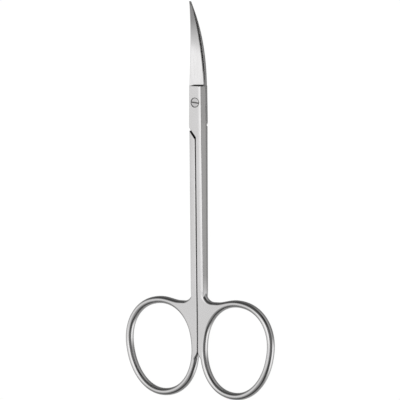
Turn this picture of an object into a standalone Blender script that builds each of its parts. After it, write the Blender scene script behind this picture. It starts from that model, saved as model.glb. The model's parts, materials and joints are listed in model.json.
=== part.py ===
"""Curved iris scissors, closed and lying on their back: two forged halves joined by a slotted screw.

Metres, +Z up, +Y towards the tips. The origin is under the middle of the closed scissors, on the surface
they lie on. The pieces are modelled round the pivot: y = 0 on the screw's axis, and z = 0 on the plane where
the two laps of the joint meet. The front half's handle is at +X and its lap above that plane. The back half
is its counterpart turned half a turn about the long axis, with its handle at -X and its lap below.
"""

import math

import bmesh
import bpy
from mathutils import Vector

MM = 0.001

# Whole scissors
OVERALL_LENGTH = 115.0 * MM
PIVOT_TO_TIP = 29.3 * MM
SEAM_GAP = 0.10 * MM  # between the two closed shanks
PARTING_GAP = 0.10 * MM  # between the two laps
OVERRUN = 2.0 * MM  # how far a cut runs past the piece it cuts
BURIED = 0.6 * MM  # how far a joined form runs into its neighbour

# Lap joint
FRONT_LAP_THICKNESS = 2.32 * MM
BACK_LAP_THICKNESS = 1.43 * MM
JOINT_HALF_WIDTH = 2.045 * MM  # at the shoulders
ROOT_HALF_WIDTH = 1.94 * MM  # at the step to the blades
BELLY = 0.28 * MM  # how much wider the joint is at the parting plane than at its faces
EDGE_BREAK = 0.14 * MM  # small flat along the long outer edges
STEP_FROM_PIVOT = 4.75 * MM  # where the joint steps down to the blades
FRONT_SHOULDER_FROM_PIVOT = 7.2 * MM
BACK_SHOULDER_FROM_PIVOT = 6.1 * MM
SHOULDER_SLANT = 2.9 * MM  # drop of a shoulder from the outer edge to the seam
FRONT_SHOULDER_GAP = 0.6 * MM  # along the length, between the front lap's end and the shoulder it faces
BACK_SHOULDER_GAP = 0.35 * MM  # the same at the back lap's end

# Shanks
SHANK_THICKNESS_AT_JOINT = 3.66 * MM
SHANK_THICKNESS_AT_WEB = 2.92 * MM
SHANK_HALF_WIDTH_AT_WEB = 2.16 * MM

# Finger rings: an egg that leans out at the top, swept with a rounded section
RING_FROM_SEAM = 0.42 * MM  # between a closed ring and the middle of the scissors
RING_HALF_WIDTH = 11.34 * MM
RING_TOP = 12.4 * MM
RING_BOTTOM = 14.5 * MM
RING_LEAN = math.radians(9.1)
RING_SQUARENESS = 2.1  # exponent of the egg's outline, 2 for an ellipse
RING_WIDTH = 2.1 * MM
RING_THICKNESS = 2.72 * MM
RING_ROUNDNESS = 2.4  # exponent of the section's outline
RING_STEPS = 80
RING_SECTION_STEPS = 16

# Webs between rings and shanks
WEB_THICKNESS = 2.62 * MM
WEB_TOP_ABOVE_RING_CENTRE = 12.55 * MM
WEB_FOOT_BELOW_RING_CENTRE = 0.2 * MM  # where the webs stop on the seam
WEB_FILLET_RADIUS = 2.9 * MM
SHANK_SUNK_IN_WEB = 0.02 * MM  # each face of a shank's end lies this far under the web's
WEB_OUTER_ANGLE = math.radians(104)  # on the egg, where the web leaves the ring's top
WEB_INNER_ANGLE = math.radians(196)  # on the egg, where the web leaves the ring's inner side
WEB_FILLET_STEPS = 8
WEB_RING_STEPS = 14

# Blades
BLADE_RISE = 4.45 * MM  # how far the tips stand above the parting plane
BLADE_CURVE_POWER = 2.4  # the rise stays small near the joint and grows towards the tip
SPINE_AT_ROOT = 1.90 * MM  # half width of the closed blades, centre line to spine
SPINE_AT_TIP = 0.14 * MM
SPINE_TAPER_POWER = 2.3  # the spine is a convex curve
CUTTING_EDGE_AT_ROOT = 2.0 * MM  # centre line to cutting edge, which is straight in plan
CUTTING_EDGE_AT_TIP = 0.12 * MM
FRONT_BLADE_THICKNESS_AT_ROOT = 2.18 * MM
BACK_BLADE_THICKNESS_AT_ROOT = 1.30 * MM
BLADE_THICKNESS_AT_TIP = 0.24 * MM
SPINE_FLAT = 0.10 * MM  # flat left on top of the spine before the bevel starts
CUTTING_EDGE_THICKNESS = 0.10 * MM
BLADE_RELIEF = 0.04 * MM  # the inner faces are ground back from the parting plane
BLADE_STEPS = 26

# Pivot screw and its seat
SCREW_SHAFT_DIAMETER = 1.6 * MM
SCREW_HEAD_DIAMETER = 2.44 * MM
SCREW_HEAD_RIM = 0.42 * MM  # height of the head's straight rim
SCREW_CONE_HEIGHT = 0.40 * MM
SCREW_HEAD_BELOW_FACE = 0.02 * MM
SCREW_DOME = 0.07 * MM
SCREW_SLOT_WIDTH = 0.42 * MM
SCREW_SLOT_DEPTH = 0.40 * MM
SCREW_SLOT_TURN = math.radians(-6)
SCREW_END_BREAK = 0.12 * MM
BORE_CLEARANCE = 0.05 * MM  # radial, round the shaft
SEAT_GROOVE = 0.20 * MM  # radial, the groove that shows round the head
SCREW_STEPS = 48
SCREW_DOME_STEPS = 3

MIDDLE_HEIGHT = (FRONT_LAP_THICKNESS - BACK_LAP_THICKNESS) / 2  # of shanks and rings, over the parting plane
BLADE_LENGTH = PIVOT_TO_TIP - STEP_FROM_PIVOT

STEEL_COLOUR = (0.60, 0.60, 0.61, 1.0)
SCREW_COLOUR = (0.52, 0.52, 0.53, 1.0)
SATIN_ROUGHNESS = 0.32
SCREW_ROUGHNESS = 0.26


def clear_scene():
    for obj in list(bpy.data.objects):
        bpy.data.objects.remove(obj, do_unlink=True)


def steel(name, colour, roughness):
    material = bpy.data.materials.new(name)
    material.use_nodes = True
    shader = material.node_tree.nodes["Principled BSDF"]
    shader.inputs["Base Color"].default_value = colour
    shader.inputs["Metallic"].default_value = 1.0
    shader.inputs["Roughness"].default_value = roughness
    return material


def new_object(name, points, faces):
    """A mesh object whose faces point outwards."""
    mesh = bpy.data.meshes.new(name)
    mesh.from_pydata([tuple(point) for point in points], [], faces)
    form = bmesh.new()
    form.from_mesh(mesh)
    bmesh.ops.recalc_face_normals(form, faces=form.faces)
    form.to_mesh(mesh)
    form.free()
    obj = bpy.data.objects.new(name, mesh)
    bpy.context.scene.collection.objects.link(obj)
    return obj


def helper(obj):
    """Keeps a form that only joins or cuts another out of the model."""
    obj.hide_render = True
    obj.display_type = "WIRE"
    return obj


def combine(obj, other, operation):
    modifier = obj.modifiers.new(other.name, "BOOLEAN")
    modifier.operation = operation
    modifier.object = other
    modifier.solver = "EXACT"
    helper(other)


def loft(name, sections):
    """A closed body through sections that all have the same number of points."""
    count = len(sections[0])
    points = [point for section in sections for point in section]
    faces = []
    for row in range(len(sections) - 1):
        for i in range(count):
            j = (i + 1) % count
            start, end = row * count, (row + 1) * count
            faces.append((start + i, start + j, end + j, end + i))
    faces.append(tuple(range(count)))
    faces.append(tuple(range(len(points) - count, len(points))))
    return new_object(name, points, faces)


def prism(name, outline, low, high):
    """An outline in x and y, extruded from one height to another."""
    return loft(name, [[(x, y, z) for x, y in outline] for z in (low, high)])


def turned(name, profile):
    """A body turned about z from a profile of (radius, height), bottom to top, with its ends on the axis."""
    rings = profile[1:-1]
    points = [
        (radius * math.cos(angle), radius * math.sin(angle), height)
        for radius, height in rings
        for angle in (math.tau * i / SCREW_STEPS for i in range(SCREW_STEPS))
    ]
    faces = []
    for row in range(len(rings) - 1):
        for i in range(SCREW_STEPS):
            j = (i + 1) % SCREW_STEPS
            start, end = row * SCREW_STEPS, (row + 1) * SCREW_STEPS
            faces.append((start + i, start + j, end + j, end + i))
    top = len(points)
    points += [(0, 0, profile[-1][1]), (0, 0, profile[0][1])]
    for i in range(SCREW_STEPS):
        j = (i + 1) % SCREW_STEPS
        faces.append((top - SCREW_STEPS + i, top - SCREW_STEPS + j, top))
        faces.append((j, i, top + 1))
    return new_object(name, points, faces)


def mix(start, end, share):
    return start + (end - start) * share


def power(value, exponent):
    """A signed power, for superellipses."""
    return math.copysign(abs(value) ** exponent, value)


# Rings and webs, drawn for the handle at +X

def ring_offset(angle):
    """The egg's centre line from its own centre. Angle 0 is the outer side, a quarter turn the top."""
    height = RING_TOP if math.sin(angle) >= 0 else RING_BOTTOM
    across = RING_HALF_WIDTH * power(math.cos(angle), 2 / RING_SQUARENESS)
    along = height * power(math.sin(angle), 2 / RING_SQUARENESS)
    return (
        across * math.cos(RING_LEAN) + along * math.sin(RING_LEAN),
        along * math.cos(RING_LEAN) - across * math.sin(RING_LEAN),
    )


def ring_angles():
    return [math.tau * i / RING_STEPS for i in range(RING_STEPS)]


def ring_centre_y():
    """Puts the lowest point of the rings at the bottom end of the scissors."""
    lowest = min(ring_offset(angle)[1] for angle in ring_angles())
    return PIVOT_TO_TIP - OVERALL_LENGTH + RING_WIDTH / 2 - lowest


def ring_centre_x():
    """Keeps the inner side of the ring at its distance from the middle of the scissors."""
    inmost = min(ring_offset(angle)[0] for angle in ring_angles())
    return RING_FROM_SEAM + RING_WIDTH / 2 - inmost


def ring_point(angle):
    across, along = ring_offset(angle)
    return Vector((ring_centre_x() + across, ring_centre_y() + along, MIDDLE_HEIGHT))


def ring_body(side):
    centres = [ring_point(angle) for angle in ring_angles()]
    up = Vector((0, 0, 1))
    points = []
    for i, centre in enumerate(centres):
        along = (centres[(i + 1) % RING_STEPS] - centres[i - 1]).normalized()
        outward = along.cross(up)
        for k in range(RING_SECTION_STEPS):
            turn = math.tau * k / RING_SECTION_STEPS
            out = RING_WIDTH / 2 * power(math.cos(turn), 2 / RING_ROUNDNESS)
            high = RING_THICKNESS / 2 * power(math.sin(turn), 2 / RING_ROUNDNESS)
            point = centre + outward * out + up * high
            points.append((side * point.x, point.y, point.z))
    faces = []
    for i in range(RING_STEPS):
        for k in range(RING_SECTION_STEPS):
            start, end = i * RING_SECTION_STEPS, (i + 1) % RING_STEPS * RING_SECTION_STEPS
            turn = (k + 1) % RING_SECTION_STEPS
            faces.append((start + k, start + turn, end + turn, end + k))
    return new_object("ring_form", points, faces)


def web_body(side):
    """The flat web that fills the corner between a ring, its shank and the seam."""
    top = ring_centre_y() + WEB_TOP_ABOVE_RING_CENTRE
    centre = (SHANK_HALF_WIDTH_AT_WEB + WEB_FILLET_RADIUS, top + WEB_FILLET_RADIUS)
    inside = SHANK_HALF_WIDTH_AT_WEB - BURIED
    outline = [(-BURIED, centre[1] + BURIED), (inside, centre[1] + BURIED), (inside, centre[1])]
    for i in range(WEB_FILLET_STEPS + 1):
        angle = math.pi + math.pi / 2 * i / WEB_FILLET_STEPS
        outline.append(
            (centre[0] + WEB_FILLET_RADIUS * math.cos(angle), centre[1] + WEB_FILLET_RADIUS * math.sin(angle))
        )
    for i in range(WEB_RING_STEPS + 1):
        point = ring_point(mix(WEB_OUTER_ANGLE, WEB_INNER_ANGLE, i / WEB_RING_STEPS))
        outline.append((point.x, point.y))
    foot = ring_centre_y() - WEB_FOOT_BELOW_RING_CENTRE
    outline += [(0, foot), (-BURIED, foot)]
    return prism(
        "web_form",
        [(side * x, y) for x, y in outline],
        MIDDLE_HEIGHT - WEB_THICKNESS / 2,
        MIDDLE_HEIGHT + WEB_THICKNESS / 2,
    )


# Shanks and joint, as the outside of the closed pair

def body_section(y, half_width, low, high, belly):
    """One hexagonal section with its four long outer edges broken."""
    face = half_width - EDGE_BREAK
    right = [
        (face, high),
        (half_width, high - EDGE_BREAK),
        (half_width + belly, 0),
        (half_width, low + EDGE_BREAK),
        (face, low),
    ]
    return [(x, y, z) for x, z in right] + [(-x, y, z) for x, z in reversed(right)]


def outer_body(name):
    web_y = ring_centre_y() + WEB_TOP_ABOVE_RING_CENTRE
    sunk_thickness = WEB_THICKNESS - 2 * SHANK_SUNK_IN_WEB
    stations = (
        (web_y - WEB_FILLET_RADIUS, sunk_thickness, SHANK_HALF_WIDTH_AT_WEB - EDGE_BREAK, 0),
        (web_y + WEB_FILLET_RADIUS, SHANK_THICKNESS_AT_WEB, SHANK_HALF_WIDTH_AT_WEB, BELLY / 2),
    )
    sections = [
        body_section(y, half_width, MIDDLE_HEIGHT - thickness / 2, MIDDLE_HEIGHT + thickness / 2, belly)
        for y, thickness, half_width, belly in stations
    ]
    sections.append(
        body_section(
            -FRONT_SHOULDER_FROM_PIVOT - SHOULDER_SLANT - FRONT_SHOULDER_GAP,
            JOINT_HALF_WIDTH,
            MIDDLE_HEIGHT - SHANK_THICKNESS_AT_JOINT / 2,
            MIDDLE_HEIGHT + SHANK_THICKNESS_AT_JOINT / 2,
            BELLY,
        )
    )
    for y, half_width in ((-BACK_SHOULDER_FROM_PIVOT, JOINT_HALF_WIDTH), (STEP_FROM_PIVOT, ROOT_HALF_WIDTH)):
        sections.append(body_section(y, half_width, -BACK_LAP_THICKNESS, FRONT_LAP_THICKNESS, BELLY))
    return loft(name, sections)


def shoulder_cutters(side):
    """What is milled away from the closed outline to leave one half: the other shank, and the other lap."""
    own, other, gap = FRONT_SHOULDER_FROM_PIVOT, BACK_SHOULDER_FROM_PIVOT, BACK_SHOULDER_GAP
    if side < 0:
        own, other, gap = other, own, FRONT_SHOULDER_GAP
    wide = ring_centre_x() + RING_HALF_WIDTH + RING_WIDTH + OVERRUN
    across = JOINT_HALF_WIDTH + BELLY
    slope = SHOULDER_SLANT / across
    below = PIVOT_TO_TIP - OVERALL_LENGTH - OVERRUN
    above = PIVOT_TO_TIP + OVERRUN
    lowest = -max(own, other) - SHOULDER_SLANT - gap - OVERRUN
    seam = SEAM_GAP / 2
    far_shank = [
        (seam, -own - SHOULDER_SLANT),
        (-across - OVERRUN, -own + slope * OVERRUN),
        (-wide, -own + slope * OVERRUN),
        (-wide, below),
        (seam, below),
    ]
    far_lap = [
        (across + OVERRUN, -other - gap + slope * OVERRUN),
        (across + OVERRUN, above),
        (-across - OVERRUN, above),
        (-across - OVERRUN, lowest),
        (seam, lowest),
        (seam, -other - SHOULDER_SLANT - gap),
    ]
    low = -FRONT_LAP_THICKNESS - BACK_LAP_THICKNESS
    high = -low
    parting = side * PARTING_GAP / 2
    lap_span = (low, parting) if side > 0 else (parting, high)
    return (
        prism("far_shank_cutter", [(side * x, y) for x, y in far_shank], low, high),
        prism("far_lap_cutter", [(side * x, y) for x, y in far_lap], *lap_span),
    )


def blade_body(side, thickness_at_root):
    """One blade: spine on the far side from its handle, ground from there down to a straight cutting edge."""
    sections = []
    buried_share = BURIED / BLADE_LENGTH
    shares = [-buried_share] + [i / BLADE_STEPS for i in range(BLADE_STEPS + 1)]
    for share in shares:
        along = max(share, 0)
        spine = mix(SPINE_AT_ROOT, SPINE_AT_TIP, along**SPINE_TAPER_POWER)
        edge = mix(CUTTING_EDGE_AT_ROOT, CUTTING_EDGE_AT_TIP, along)
        thickness = mix(thickness_at_root, BLADE_THICKNESS_AT_TIP, along)
        rise = BLADE_RISE * along**BLADE_CURVE_POWER
        inner = PARTING_GAP / 2 + BLADE_RELIEF
        y = STEP_FROM_PIVOT + BLADE_LENGTH * share
        profile = [
            (-spine, inner),
            (edge, inner),
            (edge, inner + min(CUTTING_EDGE_THICKNESS, thickness / 2)),
            (min(SPINE_FLAT, spine / 2) - spine, inner + thickness),
            (-spine, inner + thickness - min(SPINE_FLAT, thickness / 2)),
        ]
        sections.append([(side * x, y, rise + side * z) for x, z in profile])
    return loft("blade_form", sections)


# Screw and bore

def screw_levels():
    top = FRONT_LAP_THICKNESS - SCREW_HEAD_BELOW_FACE
    return top, top - SCREW_HEAD_RIM, top - SCREW_HEAD_RIM - SCREW_CONE_HEIGHT


def bore_body():
    """The seat for the head and the bore for the shaft, cut through both laps."""
    _, rim_bottom, cone_bottom = screw_levels()
    shaft = SCREW_SHAFT_DIAMETER / 2 + BORE_CLEARANCE
    head = SCREW_HEAD_DIAMETER / 2 + BORE_CLEARANCE
    bottom = -BACK_LAP_THICKNESS - OVERRUN
    top = FRONT_LAP_THICKNESS + OVERRUN
    groove = SCREW_HEAD_DIAMETER / 2 + SEAT_GROOVE
    return turned(
        "bore_cutter",
        [
            (0, bottom),
            (shaft, bottom),
            (shaft, cone_bottom - BORE_CLEARANCE),
            (head, rim_bottom - BORE_CLEARANCE),
            (groove, rim_bottom - BORE_CLEARANCE),
            (groove, top),
            (0, top),
        ],
    )


def screw_body():
    top, rim_bottom, cone_bottom = screw_levels()
    shaft, head = SCREW_SHAFT_DIAMETER / 2, SCREW_HEAD_DIAMETER / 2
    dome = [
        (head * math.cos(turn), top - SCREW_DOME * (1 - math.sin(turn)))
        for turn in (math.pi / 2 * i / SCREW_DOME_STEPS for i in range(SCREW_DOME_STEPS))
    ]
    bottom = -BACK_LAP_THICKNESS
    profile = [
        (0, bottom),
        (shaft - SCREW_END_BREAK, bottom),
        (shaft, bottom + SCREW_END_BREAK),
        (shaft, cone_bottom),
        (head, rim_bottom),
        *dome,
        (0, top),
    ]
    screw = turned("pivot_screw", profile)
    half_length, half_width = head + OVERRUN, SCREW_SLOT_WIDTH / 2
    turn = (math.cos(SCREW_SLOT_TURN), math.sin(SCREW_SLOT_TURN))
    corners = ((1, 1), (-1, 1), (-1, -1), (1, -1))
    outline = [
        (
            a * half_length * turn[0] - b * half_width * turn[1],
            a * half_length * turn[1] + b * half_width * turn[0],
        )
        for a, b in corners
    ]
    slot = prism("slot_cutter", outline, top - SCREW_SLOT_DEPTH, top + OVERRUN)
    combine(screw, slot, "DIFFERENCE")
    slot.parent = screw
    return screw


def half(name, side, blade_thickness_at_root):
    """One forging, with side 1 for the front half and -1 for the back half."""
    body = outer_body(name)
    forms = [
        (web_body(side), "UNION"),
        (ring_body(side), "UNION"),
    ]
    forms += [(cutter, "DIFFERENCE") for cutter in shoulder_cutters(side)]
    forms += [
        (blade_body(side, blade_thickness_at_root), "UNION"),
        (bore_body(), "DIFFERENCE"),
    ]
    for form, operation in forms:
        combine(body, form, operation)
        form.parent = body
    return body


def main():
    clear_scene()
    satin = steel("satin_stainless_steel", STEEL_COLOUR, SATIN_ROUGHNESS)
    screw_steel = steel("screw_steel", SCREW_COLOUR, SCREW_ROUGHNESS)
    pivot = bpy.data.objects.new("pivot", None)
    bpy.context.scene.collection.objects.link(pivot)
    pivot.location = (0, OVERALL_LENGTH / 2 - PIVOT_TO_TIP, BACK_LAP_THICKNESS)
    pieces = (
        (half("front_half", 1, FRONT_BLADE_THICKNESS_AT_ROOT), satin),
        (half("back_half", -1, BACK_BLADE_THICKNESS_AT_ROOT), satin),
        (screw_body(), screw_steel),
    )
    for piece, material in pieces:
        piece.parent = pivot
        piece.data.materials.append(material)
        piece.data.shade_smooth()
        piece.data.set_sharp_from_angle(angle=math.radians(25))


main()
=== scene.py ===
import json
import math

import bmesh
import bpy
import numpy as np
from mathutils import Matrix, Vector


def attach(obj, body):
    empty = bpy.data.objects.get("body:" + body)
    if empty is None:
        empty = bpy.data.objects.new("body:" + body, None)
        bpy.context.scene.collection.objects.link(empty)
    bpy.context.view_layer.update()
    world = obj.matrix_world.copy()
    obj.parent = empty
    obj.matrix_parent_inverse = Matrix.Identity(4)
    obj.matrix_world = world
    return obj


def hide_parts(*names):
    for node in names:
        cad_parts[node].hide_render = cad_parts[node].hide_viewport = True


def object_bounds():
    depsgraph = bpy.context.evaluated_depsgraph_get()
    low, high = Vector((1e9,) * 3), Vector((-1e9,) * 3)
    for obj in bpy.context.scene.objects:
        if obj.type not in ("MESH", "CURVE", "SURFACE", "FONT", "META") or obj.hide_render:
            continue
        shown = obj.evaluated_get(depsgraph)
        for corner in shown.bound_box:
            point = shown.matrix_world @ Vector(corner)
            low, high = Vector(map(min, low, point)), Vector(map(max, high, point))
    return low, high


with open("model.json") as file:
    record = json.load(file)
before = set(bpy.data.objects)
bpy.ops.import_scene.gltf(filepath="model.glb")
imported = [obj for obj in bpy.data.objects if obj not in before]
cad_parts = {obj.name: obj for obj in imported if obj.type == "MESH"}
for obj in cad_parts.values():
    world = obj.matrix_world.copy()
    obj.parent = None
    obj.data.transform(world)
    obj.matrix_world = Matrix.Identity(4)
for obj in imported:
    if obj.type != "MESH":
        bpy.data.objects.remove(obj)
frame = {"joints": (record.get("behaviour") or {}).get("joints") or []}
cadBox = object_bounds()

# Sizes here are real millimetres round the pivot: y = 0 on the screw, z = 0 where the two laps meet.
mm = 0.001
hinge = frame["joints"][0]
pivotY, partingZ = hinge["pos_m"][1] / mm, hinge["pos_m"][2] / mm


# Small helpers

def linear(hexColour):
    # sRGB hex to the linear colour that a shader takes
    channels = [int(hexColour[i:i + 2], 16) / 255 for i in (1, 3, 5)]
    return [c / 12.92 if c < 0.04045 else ((c + 0.055) / 1.055) ** 2.4 for c in channels] + [1.0]


def addNode(tree, kind, settings=None, links=None):
    # One node, its settings by attribute or socket name, and its inputs linked from other sockets
    node = tree.nodes.new(kind)
    for name, value in (settings or {}).items():
        if isinstance(name, str) and hasattr(node, name):
            setattr(node, name, value)
        else:
            node.inputs[name].default_value = value
    for name, source in (links or {}).items():
        tree.links.new(source, node.inputs[name])
    return node


def mix(start, end, share):
    return start + (end - start) * share


def roundMax(a, b, width):
    # The larger of two distances, with the edge between them rounded over about that width
    blend = np.maximum(width - np.abs(a - b), 0) / width
    return np.maximum(a, b) + blend * blend * width / 4


def roundMin(a, b, width):
    return -roundMax(-a, -b, width)


# Shape of one half without its blade, drawn for the handle at +X

handleSizes = {
    "ringFromSeam": 0.42,     # between a closed ring and the middle of the scissors
    "ringHalfWidth": 11.33,
    "ringTop": 12.4,
    "ringBottom": 14.5,
    "ringLean": math.radians(9.1),
    "ringSquareness": 2.1,
    "ringWidth": 2.1,
    "ringThickness": 2.72,
    "sectionRoundness": 1.95,  # 2 is an ellipse
    "webThickness": 2.62,
    "webBlend": 1.2,          # over this depth the ring's thickness passes into the web's
    "webTop": 12.55,          # above the middle of the rings
    "webFoot": 0.0,           # where the webs begin to part
    "notchSlope": 0.12,
    "notchStraight": 1.2,     # and where their feet begin to curve into the rings
    "notchCurve": 0.15,
    "notchLength": 4.5,
    "filletRadius": 2.9,
    "softness": 0.9,          # how gently ring and web run together at the top
    "footSoftness": 0.6,      # and at the foot
    "softnessFrom": 5.0,      # above the middle of the rings
    "softnessSpan": 5.0,
    "overrun": 0.6,           # the fillets' form ends this far up inside the shank
    "join": 0.12,             # rounds the corner between handle and shank
    "margin": 1.5,            # the plan is worked out this far past the handle
}
shankSizes = {
    "seam": 0.08,             # from the middle of the closed scissors
    "seamEdge": 0.4,
    "ridgeEdge": 0.14,        # the worn edge between front face and side facet
    "facetEdge": 0.1,         # and the one between the two side facets
    "rollOff": 0.16,          # buffing rolls the face down beside that edge
    "rollWidth": 1.05,
    "halfWidthAtWeb": 2.16,
    "halfWidthAtShoulder": 2.045,
    "halfWidthAtStep": 1.94,
    "thicknessAtWeb": 2.92,
    "thicknessAtJoint": 3.66,
    "bellyAtWeb": 0.14,       # how far the parting plane stands out beyond the faces
    "belly": 0.28,
    "insideWeb": 0.14,        # inside the web the shank is this much narrower
    "belowWeb": 0.02,         # and lies this far below the web's faces
}
jointSizes = {
    "frontLap": 2.32,
    "backLap": 1.43,
    "lapGap": 0.10,
    "step": 4.75,
    "frontShoulder": 7.2,
    "backShoulder": 6.1,
    "slant": 2.9,
    "frontShoulderGap": 0.6,
    "backShoulderGap": 0.35,
    "cutEdge": 0.07,          # worn edges of the step and the shoulders
    "headRadius": 1.22,
    "grooveWidth": 0.20,
    "rimHeight": 0.42,
    "coneHeight": 0.40,
    "coneSlant": 0.7,         # makes a radius beside the cone about the distance from it
    "belowFace": 0.02,
    "shaftRadius": 0.80,
    "clearance": 0.05,
    "boreEdge": 0.05,
}
middleZ = (jointSizes["frontLap"] - jointSizes["backLap"]) / 2
shouldersY = -jointSizes["frontShoulder"] - jointSizes["slant"] - jointSizes["frontShoulderGap"]
lowEndY = cadBox[0][1] / mm - pivotY
tipY = cadBox[1][1] / mm - pivotY


def signedPower(value, exponent):
    return np.sign(value) * np.abs(value) ** exponent


def ringSeries(harmonics=18, samples=512):
    # The ring's centre line as a short Fourier series, so that its curvature has no break
    s = handleSizes
    angle = np.arange(samples) * math.tau / samples
    height = np.where(np.sin(angle) >= 0, s["ringTop"], s["ringBottom"])
    across = s["ringHalfWidth"] * signedPower(np.cos(angle), 2 / s["ringSquareness"])
    along = height * signedPower(np.sin(angle), 2 / s["ringSquareness"])
    line = (across + 1j * along) * np.exp(-1j * s["ringLean"])
    centreY = lowEndY + s["ringWidth"] / 2 - line.imag.min()
    centreX = s["ringFromSeam"] + s["ringWidth"] / 2 - line.real.min()
    line = line + centreX + 1j * centreY
    orders = np.fft.fftfreq(samples, 1 / samples)
    terms = np.fft.fft(line) / samples
    kept = np.abs(orders) <= harmonics
    return orders[kept], terms[kept], centreX, centreY


ringOrders, ringTerms, ringCentreX, ringCentreY = ringSeries()
webTopY = ringCentreY + handleSizes["webTop"]
handleEndY = webTopY + handleSizes["filletRadius"]


def ringPoint(turn):
    return (ringTerms * np.exp(1j * turn[..., None] * ringOrders)).sum(-1)


def ringSlope(turn):
    return (1j * ringOrders * ringTerms * np.exp(1j * turn[..., None] * ringOrders)).sum(-1)


def ringDistance(x, y, startCount=96, chunkSize=20000, passes=4, longestTurn=0.05, meanRadius=12.5,
                 band=6.0):
    # Signed distance to the ring's centre line in plan: positive outside the ring. It is exact in a band
    # along the ring, and elsewhere it is the distance to the nearest starting point.
    place = x + 1j * y
    starts = np.arange(startCount) * math.tau / startCount
    coarse = ringPoint(starts)
    turn = np.empty(place.shape)
    for chunk in np.array_split(np.arange(len(place)), max(1, len(place) // chunkSize)):
        turn[chunk] = starts[np.abs(place[chunk, None] - coarse).argmin(1)]
    near = np.abs(np.abs(place - (ringCentreY * 1j + ringCentreX)) - meanRadius) < band
    for _ in range(passes):
        slope = ringSlope(turn[near])
        offset = place[near] - ringPoint(turn[near])
        change = (offset * slope.conj()).real / np.abs(slope) ** 2
        turn[near] += np.clip(change, -longestTurn, longestTurn)
    offset = place - ringPoint(turn)
    outward = ringSlope(turn) * -1j
    return np.abs(offset) * np.sign((offset * outward.conj()).real)


def handlePlan(x, y):
    # Signed distance in plan to the outline of ring and web together, and the fillets on the shank
    s = handleSizes
    farAway = 5.0
    outline = np.full(x.shape, farAway)
    low = y < handleEndY + s["margin"]
    x, y = x[low], y[low]
    ring = ringDistance(x, y)
    below = ringCentreY + s["webFoot"] - y
    opening = below * s["notchSlope"] + s["notchCurve"] * np.maximum(below - s["notchStraight"], 0) ** 2
    notch = (opening - x) / math.hypot(1, s["notchSlope"])
    foot = np.maximum(notch, below - s["notchLength"])
    web = np.maximum.reduce([y - webTopY, x - ringCentreX, foot])
    column = np.maximum(x - shankSizes["halfWidthAtWeb"], foot)
    r = s["filletRadius"]
    rounded = np.hypot(np.maximum(r - column, 0), np.maximum(r - web, 0))
    corner = np.maximum(r, np.minimum(column, web)) - rounded
    upwards = np.clip((y - ringCentreY - s["softnessFrom"]) / s["softnessSpan"], 0, 1)
    softness = mix(s["footSoftness"], s["softness"], upwards)
    disc = roundMin(ring - s["ringWidth"] / 2, corner, softness)
    outline[low] = np.maximum(disc, -ring - s["ringWidth"] / 2)
    return outline


def inflated(plan, z):
    # The forging's rounded flank: height follows the depth inside the outline
    s = handleSizes
    reach = s["ringWidth"] / 2
    side = np.maximum(1 + plan / reach, 0)
    deep = np.clip((-plan - reach) / s["webBlend"], 0, 1)
    half = mix(s["ringThickness"] / 2, s["webThickness"] / 2, deep * deep * (3 - 2 * deep))
    n = s["sectionRoundness"]
    return (((side ** n + (np.abs(z - middleZ) / half) ** n) ** (1 / n)) - 1) * reach


def shankSection(x, y, z):
    # Six flats: front and back faces, and on each side two facets that meet at the parting plane
    s, j = shankSizes, jointSizes
    startY = webTopY - handleSizes["filletRadius"]
    stations = [startY, handleEndY, shouldersY, -j["backShoulder"], j["step"]]
    inWeb = handleSizes["webThickness"] / 2 - s["belowWeb"]
    atWeb, atJoint = s["thicknessAtWeb"] / 2, s["thicknessAtJoint"] / 2
    highs = [middleZ + inWeb, middleZ + atWeb, middleZ + atJoint, j["frontLap"], j["frontLap"]]
    lows = [middleZ - inWeb, middleZ - atWeb, middleZ - atJoint, -j["backLap"], -j["backLap"]]
    wide, shoulder = s["halfWidthAtWeb"], s["halfWidthAtShoulder"]
    halves = [wide - s["insideWeb"], wide, shoulder, shoulder, s["halfWidthAtStep"]]
    bellies = [0, s["bellyAtWeb"], s["belly"], s["belly"], s["belly"]]
    high, low = np.interp(y, stations, highs), np.interp(y, stations, lows)
    half, belly = np.interp(y, stations, halves), np.interp(y, stations, bellies)
    upper = (np.abs(x) - half - belly * (1 - z / high)) / np.sqrt(1 + (belly / high) ** 2)
    lower = (np.abs(x) - half - belly * (1 - z / low)) / np.sqrt(1 + (belly / low) ** 2)
    rolled = s["rollOff"] * np.maximum(x - half + s["rollWidth"], 0) ** 2
    flats = roundMax(z - high, low - z, s["ridgeEdge"]) + rolled
    facets = roundMax(upper, lower, s["facetEdge"])
    section = roundMax(flats, facets, s["ridgeEdge"])
    return np.maximum(section, np.maximum(startY - y, y - j["step"]))


def polygonDistance(x, y, corners):
    # Signed distance to a polygon in plan: negative inside
    best = np.full(x.shape, np.inf)
    inside = np.zeros(x.shape, bool)
    for (ax, ay), (bx, by) in zip(corners, corners[1:] + corners[:1]):
        ex, ey = bx - ax, by - ay
        share = np.clip(((x - ax) * ex + (y - ay) * ey) / (ex * ex + ey * ey), 0, 1)
        best = np.minimum(best, np.hypot(x - ax - ex * share, y - ay - ey * share))
        if ay != by:
            inside ^= ((ay > y) != (by > y)) & (x < ax + ex * (y - ay) / ey)
    return np.where(inside, -best, best)


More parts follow.
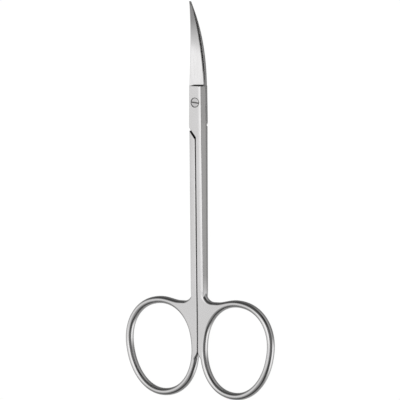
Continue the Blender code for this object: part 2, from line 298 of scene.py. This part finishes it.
def halfField(x, y, z, side, knownPlan=None):
    # Negative inside one half. side is 1 for the front half and -1 for the back half, whose lap is below.
    j, seam = jointSizes, shankSizes["seam"]
    plan = handlePlan(x, y) if knownPlan is None else knownPlan
    handle = np.maximum(inflated(plan, z), y - handleEndY - handleSizes["overrun"])
    body = roundMin(handle, shankSection(x, y, z), handleSizes["join"])
    own, other = (j["frontShoulder"], j["backShoulder"])[::side]
    gap = j["backShoulderGap"] if side > 0 else j["frontShoulderGap"]
    across = shankSizes["halfWidthAtShoulder"] + shankSizes["belly"]
    slope = j["slant"] / across
    far, wide = 8.0, 60.0     # well past the half, beside and below it
    farShank = polygonDistance(x, y, [
        (seam, -own - j["slant"]), (-across - far, -own + slope * far), (-wide, -own + slope * far),
        (-wide, lowEndY - far), (seam, lowEndY - far),
    ])
    lowest = -max(own, other) - j["slant"] - gap - far
    farLap = polygonDistance(x, y, [
        (across + far, -other - gap + slope * far), (across + far, tipY), (-across - far, tipY),
        (-across - far, lowest), (seam, lowest), (seam, -other - j["slant"] - gap),
    ])
    body = roundMax(body, -farShank, shankSizes["seamEdge"])
    body = roundMax(body, -np.maximum(farLap, side * z - j["lapGap"] / 2), j["cutEdge"])
    radius = np.hypot(x, y)
    top = j["frontLap"] - j["belowFace"]
    rimBottom = top - j["rimHeight"] - j["clearance"]
    head = np.maximum(radius - j["headRadius"] - j["grooveWidth"], rimBottom - z)
    shaft = radius - j["shaftRadius"] - j["clearance"]
    flare = (j["headRadius"] - j["shaftRadius"]) / j["coneHeight"]
    cone = shaft - np.maximum(z - rimBottom + j["coneHeight"], 0) * flare
    cone = np.maximum(cone * j["coneSlant"], z - rimBottom)
    bore = np.minimum.reduce([head, cone, shaft])
    return roundMax(body, -bore, j["boreEdge"])


def skin(axes, values, field, crispFrom, hold=0.05):
    # A closed mesh where the values change sign: one point in each grid cell that the surface crosses.
    # Beyond crispFrom along y the point goes where the cell's tangent planes meet, which keeps edges crisp,
    # and hold ties it to the middle of the cell's crossings where those planes say little.
    inside = values < 0
    cells = tuple(np.array(values.shape) - 1)
    total = np.zeros(cells + (3,))
    count = np.zeros(cells, np.int32)
    faces = []
    crossings = []
    for axis in range(3):
        low = [slice(None)] * 3
        high = [slice(None)] * 3
        low[axis], high[axis] = slice(None, -1), slice(1, None)
        a, b = values[tuple(low)], values[tuple(high)]
        at = np.argwhere(inside[tuple(low)] != inside[tuple(high)])
        va, vb = a[tuple(at.T)], b[tuple(at.T)]
        share = va / (va - vb)
        place = np.stack([axes[k][at[:, k]] for k in range(3)], 1)
        place[:, axis] += share * (axes[axis][at[:, axis] + 1] - axes[axis][at[:, axis]])
        u, v = (axis + 1) % 3, (axis + 2) % 3
        ring = []
        for du, dv in ((0, 0), (-1, 0), (-1, -1), (0, -1)):
            cell = at.copy()
            cell[:, u] += du
            cell[:, v] += dv
            np.add.at(total, tuple(cell.T), place)
            np.add.at(count, tuple(cell.T), 1)
            ring.append(cell)
        crossings.append((ring, va < 0, place))
    used = count > 0
    number = np.full(count.shape, -1, np.int64)
    number[used] = np.arange(used.sum())
    points = total[used] / count[used][:, None]
    squares, pulls = np.zeros((len(points), 3, 3)), np.zeros((len(points), 3))
    for ring, forward, place in crossings:
        quads = np.stack([number[tuple(cell.T)] for cell in ring], 1)
        crisp = place[:, 1] > crispFrom
        slope = unit(gradient(field, place[crisp]))
        for corner in quads[crisp].T:
            offset = ((place[crisp] - points[corner]) * slope).sum(1)
            np.add.at(squares, corner, slope[:, :, None] * slope[:, None, :])
            np.add.at(pulls, corner, slope * offset[:, None])
        quads[~forward] = quads[~forward][:, ::-1]
        faces.append(quads)
    squares += np.eye(3) * hold
    cellAt = np.argwhere(used)
    halfCell = np.stack([np.diff(axes[k])[cellAt[:, k]] for k in range(3)], 1) / 2
    points += np.clip(np.linalg.solve(squares, pulls[:, :, None])[:, :, 0], -halfCell, halfCell)
    return points, np.concatenate(faces)


def gradient(field, points, step=0.004):
    # The field's slope at the points
    slopes = []
    for axis in range(3):
        nudge = np.zeros(3)
        nudge[axis] = step
        slopes.append((field(points + nudge) - field(points - nudge)) / (2 * step))
    return np.stack(slopes, 1)


def unit(slopes, tiny=1e-6):
    return slopes / np.maximum(np.linalg.norm(slopes, axis=1), tiny)[:, None]


def settle(field, points, cell, passes=3, flattest=0.05):
    # Moves each point onto the surface itself, never further than a cell at a time
    for _ in range(passes):
        slope = gradient(field, points)
        size = np.maximum((slope ** 2).sum(1), flattest)
        move = -(field(points) / size)[:, None] * slope
        points = points + np.clip(move, -cell, cell)
    return points, unit(gradient(field, points))


# Cell sizes of the grid that each half is drawn on, and how far the grid or a zone of it runs
fineness = {"ring": 0.16, "shank": 0.55, "joint": 0.13, "seat": 0.06, "across": 0.12, "height": 0.13}
gridReach = {
    "shank": 2.7,             # to either side of the middle
    "seat": 1.7,              # round the screw
    "ringSide": 2.2,          # past the ring
    "ringEnd": 0.5,
    "shoulders": 1.0,         # below the shoulders
    "step": 0.4,              # past the step
    "back": 0.3,              # behind the back lap
    "front": 0.35,            # in front of the front lap
}


def halfMesh(side):
    # Points, normals and faces of one half without its blade, with the handle at +X
    f, g = fineness, gridReach
    beside, seat = g["shank"], g["seat"]
    webStart = handleEndY + handleSizes["margin"]
    shoulders = shouldersY - g["shoulders"]
    reachX = ringCentreX + handleSizes["ringHalfWidth"] + g["ringSide"]
    axes = [
        np.concatenate([
            np.arange(-beside, -seat, f["across"]),
            np.arange(-seat, seat, f["seat"]),
            np.arange(seat, beside, f["across"]),
            np.arange(beside, reachX, f["ring"]),
        ]),
        np.concatenate([
            np.arange(lowEndY - g["ringEnd"], webStart, f["ring"]),
            np.arange(webStart, shoulders, f["shank"]),
            np.arange(shoulders, -seat, f["joint"]),
            np.arange(-seat, seat, f["seat"]),
            np.arange(seat, jointSizes["step"] + g["step"], f["joint"]),
        ]),
        np.arange(-jointSizes["backLap"] - g["back"], jointSizes["frontLap"] + g["front"], f["height"]),
    ]
    gx, gy = np.meshgrid(axes[0], axes[1], indexing="ij")
    plan = handlePlan(gx.ravel(), gy.ravel()).reshape(gx.shape)
    values = np.stack([halfField(gx, gy, z, side, plan) for z in axes[2]], 2)

    def field(p):
        return halfField(p[:, 0], p[:, 1], p[:, 2], side)

    points, faces = skin(axes, values, field, shoulders)
    points, normals = settle(field, points, f["across"])
    print(f"half {side}: {len(points)} points, {len(faces)} faces")
    return points, normals, faces


# Blades: ground from a thick spine down to a straight cutting edge, and bent up towards the tips

bladeSizes = {
    "rise": 4.45,
    "curvePower": 2.4,
    "spineAtRoot": 1.90,
    "spineAtTip": 0.14,
    "spinePower": 2.3,
    "edgeAtRoot": 2.0,
    "edgeAtTip": 0.12,
    "frontThickness": 2.18,
    "backThickness": 1.30,
    "thicknessAtTip": 0.24,
    "edgeThickness": 0.05,
    "honedAtRoot": 0.36,      # height of the honed bevel along the cutting edge
    "honedAtTip": 0.08,
    "honedAngle": math.radians(65),
    "spineRound": 0.16,
    "relief": 0.04,
    "hollow": 0.04,           # the inner faces are ground slightly hollow
    "bow": 0.12,              # and set apart at mid-length, so that the blades meet at their tips
    "rootFillet": 0.55,       # the grinding wheel's corner, left at the step
    "filletBelow": 0.1,       # and ending this far below the lap's face
    "buried": 0.6,            # the root inside the lap, narrower than the blade
    "lastBuried": 0.02,
    "buriedShare": 0.85,
    "buriedBelow": 0.2,
    "steps": 110,
    "faceSteps": 12,
    "roundSteps": 5,
    "filletSteps": 8,
    "sharpFrom": math.radians(25),
}


def bladeSection(share, rootThickness, lapHeight, fromStep):
    # The closed outline of one section, from the inner face round the cutting edge to the spine
    s = bladeSizes
    along = max(share, 0)
    spine = mix(s["spineAtRoot"], s["spineAtTip"], along ** s["spinePower"])
    edge = mix(s["edgeAtRoot"], s["edgeAtTip"], along)
    bow = s["bow"] * math.sin(math.pi * along)
    thick = mix(rootThickness, s["thicknessAtTip"], along) - bow
    inner = jointSizes["lapGap"] / 2 + s["relief"] + bow
    honed = min(mix(s["honedAtRoot"], s["honedAtTip"], along), thick / 2)
    hollow = min(s["hollow"], thick / 6)
    r = min(s["spineRound"], spine / 2, thick / 2)
    steps = range(s["faceSteps"] + 1)
    outline = [(mix(-spine, edge, i / s["faceSteps"]),
                inner + hollow * math.sin(math.pi * i / s["faceSteps"])) for i in steps]
    low = (edge, inner + s["edgeThickness"])
    high = (edge - (honed - s["edgeThickness"]) / math.tan(s["honedAngle"]), inner + honed)
    top = (r - spine, inner + thick)
    outline += [low]
    outline += [tuple(mix(a, b, i / s["faceSteps"]) for a, b in zip(high, top)) for i in steps]
    outline += [(r - spine - r * math.sin(a), inner + thick - r + r * math.cos(a))
                for a in (math.pi / 2 * i / s["roundSteps"] for i in range(1, s["roundSteps"] + 1))]
    lifted = []
    for x, z in outline:
        radius = min(s["rootFillet"], max(lapHeight - s["filletBelow"] - z, 0))
        lift = 0
        if z > inner + hollow and fromStep < radius:
            lift = radius - math.sqrt(radius ** 2 - (radius - max(fromStep, 0)) ** 2)
        lifted.append((x, z + lift))
    if fromStep < 0:
        lifted = [(x * s["buriedShare"], min(z, lapHeight - s["buriedBelow"])) for x, z in lifted]
    return lifted


def bladeMesh(side):
    # Points and faces of one blade, with the handle at +X
    s, j = bladeSizes, jointSizes
    length = tipY - j["step"]
    rootThickness = s["frontThickness"] if side > 0 else s["backThickness"]
    lapHeight = j["frontLap"] if side > 0 else j["backLap"]
    fillet = s["rootFillet"] / length
    shares = [-s["buried"] / length, -s["lastBuried"] / length]
    shares += [fillet * (i / s["filletSteps"]) ** 2 for i in range(s["filletSteps"])]
    shares += [mix(fillet, 1, i / s["steps"]) for i in range(s["steps"] + 1)]
    points, faces = [], []
    for share in shares:
        section = bladeSection(share, rootThickness, lapHeight, length * share)
        rise = s["rise"] * max(share, 0) ** s["curvePower"]
        points += [(x, j["step"] + length * share, rise + side * z) for x, z in section]
    count = len(section)
    for row in range(len(shares) - 1):
        for i in range(count):
            k = (i + 1) % count
            faces.append((row * count + i, row * count + k, (row + 1) * count + k, (row + 1) * count + i))
    faces += [tuple(range(count))[::-1], tuple(range(len(points) - count, len(points)))]
    return points, faces


# Materials

def metal(name):
    # A material with a metal's shader, its node tree and that shader
    material = bpy.data.materials.new(name)
    material.use_nodes = True
    shader = material.node_tree.nodes["Principled BSDF"]
    shader.inputs["Metallic"].default_value = 1.0
    return material, material.node_tree, shader


satinFinish = {
    "scratchWidth": 0.25,
    "scratchLength": 6.0,
    "scratchDepth": 0.01,
    "scratchStrength": 0.12,
    "cloudSize": 7.0,         # faint patches, lighter and darker
    "buffedTo": 14.0,         # the rings, from their middle
    "brushedFrom": 20.0,
    "ringRoughness": 0.15,
    "shankRoughness": 0.2,
    "flatRoughness": 0.04,    # added on the flat faces
    "speckle": 0.035,         # more or less rough from scratch to scratch
    "stretch": 0.8,           # how much the grain stretches a reflection
    "squareness": {           # by axis, from where a face counts as square to it, and where it does so fully
        "X": (0.8, 0.95),
        "Y": (0.45, 0.62),
        "Z": (0.86, 0.985),
    },
    "tones": ("#CDCCCB", "#D6D5D6"),
    "flank": "#969594",       # the side facets, darkened with painted shade
    "endWallShade": "#3E3C3A",     # the step and the shoulders, darkened with painted shade
}


def brushedStainless():
    # Martensitic stainless steel, ground along its length with a fine belt and buffed: a bright satin that
    # stretches reflections across the grain. Belt scratches are about 0.02 mm apart, drawn here 0.25 mm
    # wide and 6 mm long, as coarse as they need to be to show. The rings come off the buffing wheel
    # brighter than the flats. Past the rings the side facets, the step and the shoulders are darkened with
    # painted shade.
    s = satinFinish
    material, tree, shader = metal("brushed_stainless")
    place = addNode(tree, "ShaderNodeTexCoord")
    across, along = 1 / (s["scratchWidth"] * mm), 1 / (s["scratchLength"] * mm)
    grain = addNode(tree, "ShaderNodeMapping", {"Scale": (across, along, across)},
                    {"Vector": place.outputs["Object"]})
    scratches = addNode(tree, "ShaderNodeTexNoise", {"Scale": 1.0, "Detail": 3.0, "Roughness": 0.6},
                        {"Vector": grain.outputs["Vector"]})
    cloud = addNode(tree, "ShaderNodeTexNoise", {"Scale": 1 / (s["cloudSize"] * mm), "Detail": 2.0},
                    {"Vector": place.outputs["Object"]})
    facing = addNode(tree, "ShaderNodeSeparateXYZ", None, {"Vector": place.outputs["Normal"]})
    square = {}
    for axis, (start, end) in s["squareness"].items():
        size = addNode(tree, "ShaderNodeMath", {"operation": "ABSOLUTE"}, {0: facing.outputs[axis]})
        ramp = addNode(tree, "ShaderNodeMapRange", {"From Min": start, "From Max": end},
                       {"Value": size.outputs["Value"]})
        square[axis] = ramp.outputs["Result"]
    where = addNode(tree, "ShaderNodeSeparateXYZ", None, {"Vector": place.outputs["Object"]})
    pastRings = {"From Min": (ringCentreY + s["buffedTo"] + pivotY) * mm,
                 "From Max": (ringCentreY + s["brushedFrom"] + pivotY) * mm}
    polish = addNode(tree, "ShaderNodeMapRange",
                     {**pastRings, "To Min": s["ringRoughness"], "To Max": s["shankRoughness"]},
                     {"Value": where.outputs["Y"]})
    satin = addNode(tree, "ShaderNodeMath", {"operation": "MULTIPLY_ADD", 1: s["flatRoughness"]}, {
        0: square["Z"], 2: polish.outputs["Result"]})
    straight = addNode(tree, "ShaderNodeMapRange", {**pastRings, "To Min": 0.0, "To Max": s["stretch"]},
                       {"Value": where.outputs["Y"]})
    tree.links.new(straight.outputs["Result"], shader.inputs["Anisotropic"])
    acrossGrain = addNode(tree, "ShaderNodeVectorMath", {"operation": "CROSS_PRODUCT", 1: (0, 1, 0)},
                          {0: place.outputs["Normal"]})
    inWorld = addNode(tree, "ShaderNodeVectorTransform", {"convert_from": "OBJECT", "convert_to": "WORLD"},
                      {"Vector": acrossGrain.outputs["Vector"]})
    tree.links.new(inWorld.outputs["Vector"], shader.inputs["Tangent"])
    speckle = addNode(tree, "ShaderNodeMapRange",
                      {"From Min": 0.3, "From Max": 0.7, "To Min": -s["speckle"], "To Max": s["speckle"]},
                      {"Value": scratches.outputs["Fac"]})
    roughness = addNode(tree, "ShaderNodeMath", {"operation": "ADD", "use_clamp": True}, {
        0: satin.outputs["Value"], 1: speckle.outputs["Result"]})
    tree.links.new(roughness.outputs["Value"], shader.inputs["Roughness"])
    light, dark = (linear(tone) for tone in s["tones"])
    tone = addNode(tree, "ShaderNodeMix", {"data_type": "RGBA", "A": light, "B": dark},
                   {"Factor": cloud.outputs["Fac"]})
    colour = tone.outputs["Result"]
    # Painted shade: past the rings, faces square to X (side facets) and to Y (step, shoulders) get darker
    # colours
    for axis, hexColour in (("X", s["flank"]), ("Y", s["endWallShade"])):
        share = addNode(tree, "ShaderNodeMath", {"operation": "MULTIPLY"}, {
            0: square[axis], 1: straight.outputs["Result"]})
        layer = addNode(tree, "ShaderNodeMix", {"data_type": "RGBA", "B": linear(hexColour)},
                        {"Factor": share.outputs["Value"], "A": colour})
        colour = layer.outputs["Result"]
    tree.links.new(colour, shader.inputs["Base Color"])
    bump = addNode(tree, "ShaderNodeBump",
                   {"Strength": s["scratchStrength"], "Distance": s["scratchDepth"] * mm},
                   {"Height": scratches.outputs["Fac"]})
    tree.links.new(bump.outputs["Normal"], shader.inputs["Normal"])
    return material


screwFinish = {
    "turningSpacing": 0.296,
    "turningWobble": 0.6,
    "roughness": (0.2, 0.3),
    "darkBelow": 0.38,        # below the top of the head
    "plainAbove": 0.12,
    # painted shade in the slot and round the rim, fading to the plain tone above
    "slotShade": "#6A6968",
    "plainTone": "#C9C8C8",
}


def turnedSteel():
    # The same steel turned on a lathe: fine rings round the axis, about 0.05 mm apart, drawn here 0.3 mm
    # apart, as coarse as they need to be to show. Below the head's top, in the slot and round the rim, it is
    # darkened with painted shade.
    s = screwFinish
    material, tree, shader = metal("turned_steel")
    place = addNode(tree, "ShaderNodeTexCoord")
    centred = addNode(tree, "ShaderNodeMapping", {"Location": (0, -pivotY * mm, 0)},
                      {"Vector": place.outputs["Object"]})
    wavesToUnit = 20 / math.tau       # of the wave texture at a scale of 1
    rings = addNode(tree, "ShaderNodeTexWave",
                    {"wave_type": "RINGS", "rings_direction": "Z", "Distortion": s["turningWobble"],
                     "Scale": 1 / (s["turningSpacing"] * mm * wavesToUnit)},
                    {"Vector": centred.outputs["Vector"]})
    smooth, rough = s["roughness"]
    roughness = addNode(tree, "ShaderNodeMapRange", {"To Min": smooth, "To Max": rough},
                        {"Value": rings.outputs["Fac"]})
    tree.links.new(roughness.outputs["Result"], shader.inputs["Roughness"])
    where = addNode(tree, "ShaderNodeSeparateXYZ", None, {"Vector": place.outputs["Object"]})
    # Painted shade: darker below the head's top, in the slot and round the rim
    top = partingZ + jointSizes["frontLap"] - jointSizes["belowFace"]
    height = addNode(tree, "ShaderNodeMapRange",
                     {"From Min": (top - s["darkBelow"]) * mm, "From Max": (top - s["plainAbove"]) * mm},
                     {"Value": where.outputs["Z"]})
    tone = addNode(tree, "ShaderNodeMix",
                   {"data_type": "RGBA", "A": linear(s["slotShade"]), "B": linear(s["plainTone"])},
                   {"Factor": height.outputs["Result"]})
    tree.links.new(tone.outputs["Result"], shader.inputs["Base Color"])
    return material


# Pieces

def placed(x, y, z):
    return (x * mm, (y + pivotY) * mm, (z + partingZ) * mm)


def halfPiece(name, node, side, body, material):
    # Handle, shank and lap are one skin with the field's own normals, and the blade is a closed form whose
    # root is buried in the lap.
    points, normals, faces = halfMesh(side)
    bladePoints, bladeFaces = bladeMesh(side)
    corners = [placed(side * x, y, z) for x, y, z in (*points, *bladePoints)]
    outlines = [face[::side] for face in faces.tolist()]
    outlines += [[len(points) + i for i in face] for face in bladeFaces]
    mesh = bpy.data.meshes.new(name)
    mesh.from_pydata(corners, [], outlines)
    mesh.materials.append(material)
    mesh.shade_smooth()
    mesh.set_sharp_from_angle(angle=bladeSizes["sharpFrom"])
    bent = np.zeros((len(mesh.loops), 3), np.float32)
    mesh.corner_normals.foreach_get("vector", bent.ravel())
    owner = np.zeros(len(mesh.loops), np.int32)
    mesh.loops.foreach_get("vertex_index", owner)
    onSkin = owner < len(points)
    bent[onSkin] = (normals * (side, 1, 1))[owner[onSkin]]
    mesh.normals_split_custom_set(bent.tolist())
    piece = bpy.data.objects.new(name, mesh)
    bpy.context.scene.collection.objects.link(piece)
    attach(piece, body)
    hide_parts(node)
    print(f"{name}: {len(mesh.vertices)} points")


screwSizes = {
    "turnSteps": 96,
    "domeSteps": 8,
    "dome": 0.07,
    "slotWidth": 0.42,
    "slotDepth": 0.40,
    "slotTurn": math.radians(-6),
    "endBreak": 0.12,
    "edge": 0.03,
    "edgeSteps": 2,
    "sharpFrom": math.radians(28),
    "wornFrom": math.radians(40),
}


def turnedBody(name, profile, steps):
    # A closed body turned round the Z axis, from radii and heights that start and end on the axis
    form = bmesh.new()
    rows = []
    for radius, height in profile:
        if radius == 0:
            rows.append([form.verts.new((0, 0, height))])
        else:
            rows.append([form.verts.new((radius * math.cos(a), radius * math.sin(a), height))
                         for a in (math.tau * i / steps for i in range(steps))])
    for low, high in zip(rows, rows[1:]):
        for i in range(steps):
            k = (i + 1) % steps
            ring = [low[i % len(low)], low[k % len(low)], high[k % len(high)], high[i % len(high)]]
            form.faces.new(list(dict.fromkeys(ring)))
    bmesh.ops.recalc_face_normals(form, faces=form.faces)
    mesh = bpy.data.meshes.new(name)
    form.to_mesh(mesh)
    form.free()
    piece = bpy.data.objects.new(name, mesh)
    bpy.context.scene.collection.objects.link(piece)
    return piece


def screwPiece(material):
    s, j = screwSizes, jointSizes
    top = j["frontLap"] - j["belowFace"]
    head, shaft = j["headRadius"], j["shaftRadius"]
    rimBottom = top - j["rimHeight"]
    coneBottom = rimBottom - j["coneHeight"]
    bottom = -j["backLap"]
    domed = [(head * math.cos(a), top - s["dome"] * (1 - math.sin(a)))
             for a in (math.pi / 2 * i / s["domeSteps"] for i in range(s["domeSteps"]))]
    profile = [(0, bottom), (shaft - s["endBreak"], bottom), (shaft, bottom + s["endBreak"]),
               (shaft, coneBottom), (head, rimBottom), *domed, (0, top)]
    screw = turnedBody("slotted_screw", [(r * mm, z * mm) for r, z in profile], s["turnSteps"])
    # The milling cutter's path is a four-sided prism, stretched to a bar as wide as the slot
    cutter = turnedBody("slot_cutter", [(0, -1), (1, -1), (1, 1), (0, 1)], 4)
    halfLength, halfWidth, halfHeight = 2 * head * mm, s["slotWidth"] / 2 * mm, 0.5 * mm
    cutter.data.transform(Matrix.Rotation(s["slotTurn"], 4, "Z")
                          @ Matrix.Diagonal((halfLength, halfWidth, halfHeight, 1))
                          @ Matrix.Rotation(math.pi / 4, 4, "Z")
                          @ Matrix.Diagonal((math.sqrt(2), math.sqrt(2), 1, 1)))
    cutter.location = (0, 0, (top - s["slotDepth"]) * mm + halfHeight)
    slot = screw.modifiers.new("slot", "BOOLEAN")
    slot.object = cutter
    slot.operation = "DIFFERENCE"
    bpy.context.view_layer.update()
    graph = bpy.context.evaluated_depsgraph_get()
    made = bpy.data.meshes.new_from_object(screw.evaluated_get(graph))
    screw.modifiers.clear()
    bpy.data.objects.remove(cutter)
    screw.data = made
    made.transform(Matrix.Translation(placed(0, 0, 0)))
    made.materials.clear()
    made.materials.append(material)
    made.shade_smooth()
    made.set_sharp_from_angle(angle=s["sharpFrom"])
    bevel = screw.modifiers.new("worn edges", "BEVEL")
    bevel.width = s["edge"] * mm
    bevel.segments = s["edgeSteps"]
    bevel.limit_method = "ANGLE"
    bevel.angle_limit = s["wornFrom"]
    bevel.harden_normals = True
    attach(screw, "back")
    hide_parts("pivot_screw")
    print(f"slotted_screw: {len(made.vertices)} points")


satin = brushedStainless()
turned = turnedSteel()
print("materials made")
halfPiece("front_forging", "front_half", 1, "front", satin)
halfPiece("back_forging", "back_half", -1, "back", satin)
screwPiece(turned)


# Floor, world, lamps

studioSizes = {
    "floorHalf": 3.0,         # half the card's side, in metres
    "card": "#F4F4F4",
    "floorSeen": 0.92,        # how much of the card the camera sees as plain white
    "floorGlow": 1.06,        # that white, bright enough to make up for the rest of the card
    "ramps": {                # axis of the direction, from, to, brightness or share at either end
        "tent": ("X", 0.38, 0.55, 0.95, 0.21),          # white on the left, dark on the camera's side
        "lowTent": ("Z", 0.1, 0.4, 0.5, 1),             # dimmer near the horizon
        "tipEnd": ("Y", 0.38, 0.72, 1, 0.12),           # dark behind the tips
        "ringEnd": ("Y", -0.5, -0.28, 0.45, 1),         # and dim behind the rings
        "ringFar": ("Y", -0.92, -0.68, 0.25, 1),
        "belowRight": ("Z", -0.95, -0.45, 0.5, 1.5),    # a lit strip of the table on the right
        "belowTips": ("Y", -0.12, 0.14, 1, 0.33),
        "belowRings": ("Y", -0.75, -0.5, 0.25, 1),
        "belowLeft": ("Y", 0.2, 0.55, 0.45, 0.2),       # and plain table on the left
        "belowSide": ("X", -0.1, 0.35, 0, 1),
        "horizon": ("Z", -0.35, 0.0, 0, 1),
    },
    "softboxes": [            # name, middle in metres, turn towards the object, size, brightness
        ("overhead", (0.09, 0.055, 0.6), 0, (0.62, 0.31), 0.45),
    ],
}


def seenByCamera(tree):
    # 1 for rays from the camera, also through clear things, and 0 for all others
    path = addNode(tree, "ShaderNodeLightPath")
    seen = addNode(tree, "ShaderNodeMath", {"operation": "MAXIMUM"}, {
        0: path.outputs["Is Camera Ray"], 1: path.outputs["Is Transmission Ray"]})
    return seen.outputs["Value"]


def whiteFloor():
    # A sheet of white card. To the camera it is white with the object's shadow. It isn't seen in the metal,
    # which shows the lower half of the room instead.
    s = studioSizes
    half = s["floorHalf"]
    corners = [(-half, -half, 0), (half, -half, 0), (half, half, 0), (-half, half, 0)]
    floor = bpy.data.objects.new("white_card", bpy.data.meshes.new("white_card"))
    floor.data.from_pydata(corners, [], [(0, 1, 2, 3)])
    floor.visible_glossy = False
    bpy.context.scene.collection.objects.link(floor)
    material = bpy.data.materials.new("white_card")
    material.use_nodes = True
    tree = material.node_tree
    tree.nodes.clear()
    card = addNode(tree, "ShaderNodeBsdfDiffuse", {"Color": linear(s["card"])})
    glow = addNode(tree, "ShaderNodeEmission", {"Color": (1, 1, 1, 1), "Strength": s["floorGlow"]})
    share = addNode(tree, "ShaderNodeMath", {"operation": "MULTIPLY", 1: s["floorSeen"]},
                    {0: seenByCamera(tree)})
    both = addNode(tree, "ShaderNodeMixShader", None, {
        0: share.outputs["Value"], 1: card.outputs["BSDF"], 2: glow.outputs["Emission"]})
    addNode(tree, "ShaderNodeOutputMaterial", None, {"Surface": both.outputs["Shader"]})
    floor.data.materials.append(material)


def softLamp(name, place, turn, size, radiance):
    # A soft box. Its power follows from how bright its face looks in the metal.
    lamp = bpy.data.lights.new(name, "AREA")
    lamp.shape = "RECTANGLE"
    lamp.size, lamp.size_y = size
    lamp.energy = radiance * math.pi * size[0] * size[1]
    holder = bpy.data.objects.new(name, lamp)
    holder.location = place
    holder.rotation_euler = (0, math.radians(turn), 0)
    holder.visible_camera = False
    bpy.context.scene.collection.objects.link(holder)


def studio():
    # A white tent whose brightness depends on the direction, and the lamps in it
    world = bpy.data.worlds.new("studio")
    bpy.context.scene.world = world
    world.use_nodes = True
    tree = world.node_tree
    tree.nodes.clear()
    s = studioSizes
    direction = addNode(tree, "ShaderNodeTexCoord")
    part = addNode(tree, "ShaderNodeSeparateXYZ", None, {"Vector": direction.outputs["Generated"]})
    ramps = {}
    for name, (axis, start, end, atStart, atEnd) in s["ramps"].items():
        ramp = addNode(tree, "ShaderNodeMapRange",
                       {"From Min": start, "From Max": end, "To Min": atStart, "To Max": atEnd},
                       {"Value": part.outputs[axis]})
        ramps[name] = ramp.outputs["Result"]

    def product(*factors):
        result = factors[0]
        for factor in factors[1:]:
            step = addNode(tree, "ShaderNodeMath", {"operation": "MULTIPLY"}, {0: result, 1: factor})
            result = step.outputs["Value"]
        return result

    above = product(ramps["tent"], ramps["lowTent"], ramps["tipEnd"], ramps["ringEnd"], ramps["ringFar"])
    right = product(ramps["belowRight"], ramps["belowTips"], ramps["belowRings"])
    below = addNode(tree, "ShaderNodeMix", None, {
        "Factor": ramps["belowSide"], "A": ramps["belowLeft"], "B": right})
    level = addNode(tree, "ShaderNodeMix", None, {
        "Factor": ramps["horizon"], "A": below.outputs["Result"], "B": above}).outputs["Result"]
    room = addNode(tree, "ShaderNodeBackground", {"Color": (1, 1, 1, 1)}, {"Strength": level})
    white = addNode(tree, "ShaderNodeBackground", {"Color": (1, 1, 1, 1), "Strength": 1.0})
    both = addNode(tree, "ShaderNodeMixShader", None, {
        0: seenByCamera(tree), 1: room.outputs["Background"], 2: white.outputs["Background"]})
    addNode(tree, "ShaderNodeOutputWorld", None, {"Surface": both.outputs["Shader"]})
    for name, place, turn, size, radiance in s["softboxes"]:
        softLamp(name, place, turn, size, radiance)


cameraSizes = {
    "turn": math.radians(33.0),       # from straight above towards +X
    "lift": math.radians(6.25),       # towards the tips
    "roll": math.radians(0.33),
    "distance": 1500.0,
    "aim": (0.0, -42.8, 1.875),       # world mm
    "frameWidth": 115.82,             # what the frame spans at the aim
    "centre": (0.08, 42.6),           # from the aim to the frame's middle
    "sensor": 36.0,
    "clip": (0.05, 20.0),             # metres
}


def photoCamera():
    # The photo's camera: its three axes from turn, lift and roll, then a sight line to the frame's middle
    s = cameraSizes
    sinA, cosA = math.sin(s["turn"]), math.cos(s["turn"])
    sinE, cosE = math.sin(s["lift"]), math.cos(s["lift"])
    back = Vector((sinA * cosE, sinE, cosA * cosE))
    right = Vector((cosA, 0, -sinA))
    up = Vector((-sinA * sinE, cosE, -sinE * cosA))
    sinR, cosR = math.sin(s["roll"]), math.cos(s["roll"])
    right, up = right * cosR - up * sinR, right * sinR + up * cosR
    aim = Vector(s["aim"])
    place = aim + back * s["distance"]
    target = aim + right * s["centre"][0] + up * s["centre"][1]
    forward = (target - place).normalized()
    side = forward.cross(up).normalized()
    top = side.cross(forward)
    lens = bpy.data.cameras.new("photo_camera")
    lens.sensor_width = s["sensor"]
    lens.lens = s["sensor"] * s["distance"] / s["frameWidth"]
    lens.clip_start, lens.clip_end = s["clip"]
    camera = bpy.data.objects.new("photo_camera", lens)
    bpy.context.scene.collection.objects.link(camera)
    turned = Matrix((side, top, -forward)).transposed().to_4x4()
    camera.matrix_world = Matrix.Translation(place * mm) @ turned
    bpy.context.scene.camera = camera


whiteFloor()
studio()
photoCamera()
bpy.context.scene.view_settings.view_transform = "Standard"
print("stage, lamps and camera set")
